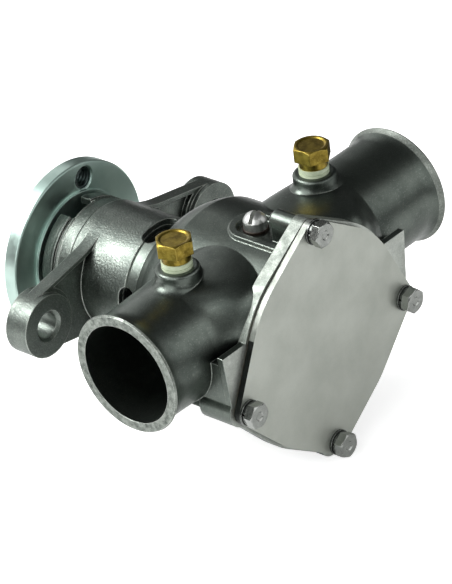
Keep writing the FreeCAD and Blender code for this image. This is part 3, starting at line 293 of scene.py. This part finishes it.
# Outline of the body's front flange: a round plate and a lobe at each bolt, joined by tangents. Its
# edge is sawn bare down to the tops of the flat corners; below them it keeps its coat, and the cover's
# edge there is painted dark as painted shade.
flangeCut = {"plateRadius": 0.0489, "lobeRadius": 0.0062, "topLobeRadius": 0.0049,
             "boltCircle": 0.0515, "topBoltDeg": 90.0, "boltAnglesDeg": (90.0, -8.5, -90.0, 188.5),
             "thick": 0.0058, "flatCornerTopZ": 0.0206}
# Filed land of the near port's rim and sawn land of the far one, in from the ends of the body
rims = {"nearDepth": 0.0011, "farDepth": 0.0032}
# How far a face may lie or lean from the bare surface and still count as part of it
within = {"outline": 0.0004, "frontPlane": 0.0001, "facingFront": -0.99, "facingOut": 0.02}


# Distance from a point in the flange's plane to that outline
def flangeDistance(x, z):
    plate = flangeCut["plateRadius"]
    reach = flangeCut["boltCircle"]
    nearest = math.hypot(x, z) - plate
    for angle in flangeCut["boltAnglesDeg"]:
        lobe = flangeCut["topLobeRadius" if angle == flangeCut["topBoltDeg"] else "lobeRadius"]
        cosine, sine = math.cos(math.radians(angle)), math.sin(math.radians(angle))
        along, across = x * cosine + z * sine, abs(z * cosine - x * sine)
        lean = (plate - lobe) / reach  # sine of the tangent's slope towards the lobe
        rise = math.sqrt(1 - lean * lean)
        slide = along * rise - across * lean
        if slide > reach * rise:
            nearest = min(nearest, math.hypot(along - reach, across) - lobe)
        elif slide > 0:
            nearest = min(nearest, along * lean + across * rise - plate)
    return nearest


# Material slot of a face of the body
def bodyFinish(centre, normal, low, high):
    coated, milled, filed, sawn = range(4)
    if centre.x < low.x + rims["nearDepth"]:
        return filed
    if centre.x > high.x - rims["farDepth"]:
        return sawn
    if centre.y < low.y + within["frontPlane"] and normal.y < within["facingFront"]:
        return milled
    onEdge = (low.y < centre.y < low.y + flangeCut["thick"] and abs(normal.y) < within["facingOut"]
              and abs(flangeDistance(centre.x, centre.z)) < within["outline"])
    return sawn if onEdge and centre.z > flangeCut["flatCornerTopZ"] else coated


bodyMesh = nodes["pump_body"].data
for material in (milledAluminium, filedCast, sawnCast):
    bodyMesh.materials.append(material)
points = [vertex.co for vertex in bodyMesh.vertices]
low = Vector([min(point[axis] for point in points) for axis in range(3)])
high = Vector([max(point[axis] for point in points) for axis in range(3)])
for polygon in bodyMesh.polygons:
    polygon.material_index = bodyFinish(polygon.center, polygon.normal, low, high)
coverMesh = nodes["cover_plate"].data
for material in (shearedSteel, paintedSeamShade):
    coverMesh.materials.append(material)
for polygon in coverMesh.polygons:
    if abs(polygon.normal.y) < 0.5:  # its edge and bolt holes, not its faces
        # Below the flat corners' tops the cover's edge gets painted shade, above them bare sheared steel
        polygon.material_index = 2 if polygon.center.z < flangeCut["flatCornerTopZ"] else 1
print("marked the bare metal")

# Thread ridges in the drive flange's tapped holes, M10 by about 1.5, drawn deeper than the real
# 0.8 mm so that they show. They start just inside the flange's front face and end inside its back.
threads = {"holeRadius": 0.0050, "depth": 0.0018, "halfWidth": 0.0005, "pitch": 0.00157,
           "turns": 3.75, "startY": 0.02006, "startDeg": 264.0, "stepsPerTurn": 40,
           "circleRadius": 0.033, "holes": 3, "turnDeg": 75.0}


# Node group that winds one ridge and repeats it round the bolt circle
def threadGroup():
    group = bpy.data.node_groups.new("threadRidges", "GeometryNodeTree")
    for name, kind in (("Hole radius", "Float"), ("Depth", "Float"), ("Half width", "Float"),
                       ("Pitch", "Float"), ("Turns", "Float"), ("Start", "Float"),
                       ("Steps per turn", "Int"), ("Circle radius", "Float"), ("Holes", "Int"),
                       ("Turn", "Float"), ("Material", "Material")):
        group.interface.new_socket(name, in_out="INPUT", socket_type="NodeSocket" + kind)
    group.interface.new_socket("Geometry", in_out="OUTPUT", socket_type="NodeSocketGeometry")
    given = addNode(group, "NodeGroupInput").outputs

    # One ridge: a diamond swept along a spiral
    height = addNode(group, "ShaderNodeMath", {0: given["Pitch"], 1: given["Turns"]},
                     operation="MULTIPLY").outputs[0]
    spiral = addNode(group, "GeometryNodeCurveSpiral", {
        "Resolution": given["Steps per turn"], "Rotations": given["Turns"],
        "Start Radius": given["Hole radius"], "End Radius": given["Hole radius"],
        "Height": height}).outputs[0]
    level = addNode(group, "GeometryNodeSetCurveNormal", {"Curve": spiral}, mode="Z_UP").outputs[0]
    diamond = addNode(group, "GeometryNodeCurvePrimitiveCircle", {
        "Resolution": 4, "Radius": 1.0}).outputs[0]
    size = addNode(group, "ShaderNodeCombineXYZ", {
        "X": given["Depth"], "Y": given["Half width"], "Z": 1.0}).outputs[0]
    profile = addNode(group, "GeometryNodeTransform", {"Geometry": diamond, "Scale": size}).outputs[0]
    ridge = addNode(group, "GeometryNodeCurveToMesh", {
        "Curve": level, "Profile Curve": profile, "Fill Caps": True}).outputs[0]
    start = addNode(group, "ShaderNodeCombineXYZ", {"Z": given["Start"]}).outputs[0]
    started = addNode(group, "GeometryNodeTransform", {
        "Geometry": ridge, "Rotation": start}).outputs[0]

    # The bolt circle, with a ridge at each of its points
    circle = addNode(group, "GeometryNodeMeshCircle", {
        "Vertices": given["Holes"], "Radius": given["Circle radius"]}).outputs[0]
    turn = addNode(group, "ShaderNodeCombineXYZ", {"Z": given["Turn"]}).outputs[0]
    turned = addNode(group, "GeometryNodeTransform", {
        "Geometry": circle, "Rotation": turn}).outputs[0]
    rows = addNode(group, "GeometryNodeInstanceOnPoints", {
        "Points": turned, "Instance": started}).outputs[0]
    real = addNode(group, "GeometryNodeRealizeInstances", {"Geometry": rows}).outputs[0]
    dressed = addNode(group, "GeometryNodeSetMaterial", {
        "Geometry": real, "Material": given["Material"]}).outputs[0]
    addNode(group, "NodeGroupOutput", {0: dressed})
    return group


# Identifier of a named input of a node group
def socketOf(group, name):
    return next(item.identifier for item in group.interface.items_tree
                if item.name == name and item.in_out == "INPUT")


# Run a node group on an empty mesh and keep its result as a plain mesh
def plainMesh(name, group, values, matrix):
    carrier = bpy.data.objects.new(name + "Carrier", bpy.data.meshes.new(name + "Carrier"))
    bpy.context.scene.collection.objects.link(carrier)
    modifier = carrier.modifiers.new("nodes", "NODES")
    modifier.node_group = group
    for key, value in values.items():
        modifier[socketOf(group, key)] = value
    graph = bpy.context.evaluated_depsgraph_get()
    mesh = bpy.data.meshes.new_from_object(carrier.evaluated_get(graph))
    bpy.data.objects.remove(carrier)
    mesh.transform(matrix)
    result = bpy.data.objects.new(name, mesh)
    bpy.context.scene.collection.objects.link(result)
    return result


lying = Matrix.Translation((0, threads["startY"], 0)) @ Matrix.Rotation(math.radians(-90), 4, "X")
flangeThreads = plainMesh("flange_hole_threads", threadGroup(), {
    "Hole radius": threads["holeRadius"], "Depth": threads["depth"],
    "Half width": threads["halfWidth"], "Pitch": threads["pitch"], "Turns": threads["turns"],
    "Start": math.radians(threads["startDeg"]), "Steps per turn": threads["stepsPerTurn"],
    "Circle radius": threads["circleRadius"], "Holes": threads["holes"],
    "Turn": -math.radians(threads["turnDeg"]), "Material": threadShadeSteel}, lying)
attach(flangeThreads, "rotor")
print("cut the threads", len(flangeThreads.data.polygons), "faces")

# Soft boxes, as the castings mirror them: a key high behind on the left inside a wider glow, a broad
# one on the left, and weak ones behind, low behind, in front and in front on the right
aim = (0.0, -0.05, 0.0)
lamps = {
    "keyLight": {"place": (-0.62, 0.72, 0.95), "size": (0.6, 0.6), "watts": 12.0},
    "glowLight": {"place": (-0.55, 0.80, 1.18), "size": (1.2, 1.1), "watts": 13.0},
    "leftLight": {"place": (-1.22, -0.14, 0.70), "size": (1.5, 1.6), "watts": 17.5},
    "backLight": {"place": (0.57, 1.25, 0.65), "size": (1.0, 1.2), "watts": 3.9},
    "lowLight": {"place": (-0.39, 1.45, 0.18), "size": (1.4, 0.45), "watts": 2.8},
    "frontLight": {"place": (0.15, -1.55, 0.75), "size": (1.9, 1.2), "watts": 10.0},
    "rightLight": {"place": (1.15, -0.97, 0.55), "size": (1.0, 0.8), "watts": 2.2},
}
scene = bpy.context.scene
for name, lamp in lamps.items():
    light = bpy.data.lights.new(name, "AREA")
    light.shape = "RECTANGLE"
    light.size, light.size_y = lamp["size"]
    light.energy = lamp["watts"]
    box = bpy.data.objects.new(name, light)
    scene.collection.objects.link(box)
    box.location = lamp["place"]
    box.rotation_euler = (Vector(aim) - Vector(lamp["place"])).to_track_quat("-Z", "Y").to_euler()

# White to the camera, and a dim room to everything that the pump mirrors
room = {"seenStrength": 1.0, "roomColour": "#dfe3e2", "roomStrength": 0.085,
        "floorZ": -0.0605, "floorSize": 1.0, "floorColour": "#fafafa", "floorRoughness": 0.9,
        "floorGlow": 0.62}
world = bpy.data.worlds.new("studioWhite")
scene.world = world
world.use_nodes = True
world.node_tree.nodes.clear()
ray = addNode(world.node_tree, "ShaderNodeLightPath").outputs["Is Camera Ray"]
seen = addNode(world.node_tree, "ShaderNodeBackground", {
    "Color": (1, 1, 1, 1), "Strength": room["seenStrength"]}).outputs["Background"]
around = addNode(world.node_tree, "ShaderNodeBackground", {
    "Color": linear(room["roomColour"]), "Strength": room["roomStrength"]}).outputs["Background"]
chosen = addNode(world.node_tree, "ShaderNodeMixShader", {
    0: ray, 1: around, 2: seen}).outputs["Shader"]
addNode(world.node_tree, "ShaderNodeOutputWorld", {"Surface": chosen})

# Floor of white paper. Its glow, also only for the camera, takes it up to the white round it.
half = room["floorSize"] / 2
floorMesh = bpy.data.meshes.new("floor")
signs = ((-1, -1), (1, -1), (1, 1), (-1, 1))
floorMesh.from_pydata([(x * half, y * half, room["floorZ"]) for x, y in signs], [], [(0, 1, 2, 3)])
floor = bpy.data.objects.new("floor", floorMesh)
scene.collection.objects.link(floor)
paper = bpy.data.materials.new("white_paper")
paper.use_nodes = True
paperShader = paper.node_tree.nodes["Principled BSDF"]
paperShader.inputs["Base Color"].default_value = linear(room["floorColour"])
paperShader.inputs["Roughness"].default_value = room["floorRoughness"]
paperShader.inputs["Emission Color"].default_value = (1, 1, 1, 1)
paperRay = addNode(paper.node_tree, "ShaderNodeLightPath").outputs["Is Camera Ray"]
paperGlow = addNode(paper.node_tree, "ShaderNodeMath", {0: paperRay, 1: room["floorGlow"]},
                    operation="MULTIPLY").outputs[0]
paper.node_tree.links.new(paperGlow, paperShader.inputs["Emission Strength"])
floorMesh.materials.append(paper)
print("lit the studio")

# Camera as it was fitted to the photograph, with its focal length in pixels of the image's width
view = {"place": (-1.024068, -1.073703, 0.875640), "right": (0.649383, -0.753518, -0.110568),
        "back": (-0.609925, -0.600629, 0.518337), "focalPixels": 4000, "sensorMm": 36.0,
        "width": 452, "height": 584, "clipStart": 0.1, "clipEnd": 20.0}
back = Vector(view["back"]).normalized()
right = Vector(view["right"])
right = (right - back * right.dot(back)).normalized()
turn = Matrix((right, back.cross(right), back)).transposed().to_4x4()
camera = bpy.data.objects.new("photoCamera", bpy.data.cameras.new("photoCamera"))
scene.collection.objects.link(camera)
camera.matrix_world = Matrix.Translation(view["place"]) @ turn
camera.data.sensor_fit = "HORIZONTAL"
camera.data.sensor_width = view["sensorMm"]
camera.data.lens = view["focalPixels"] * view["sensorMm"] / view["width"]
camera.data.clip_start = view["clipStart"]
camera.data.clip_end = view["clipEnd"]
scene.camera = camera
scene.render.resolution_x = view["width"]
scene.render.resolution_y = view["height"]
scene.view_settings.view_transform = "Standard"
print("placed the camera")
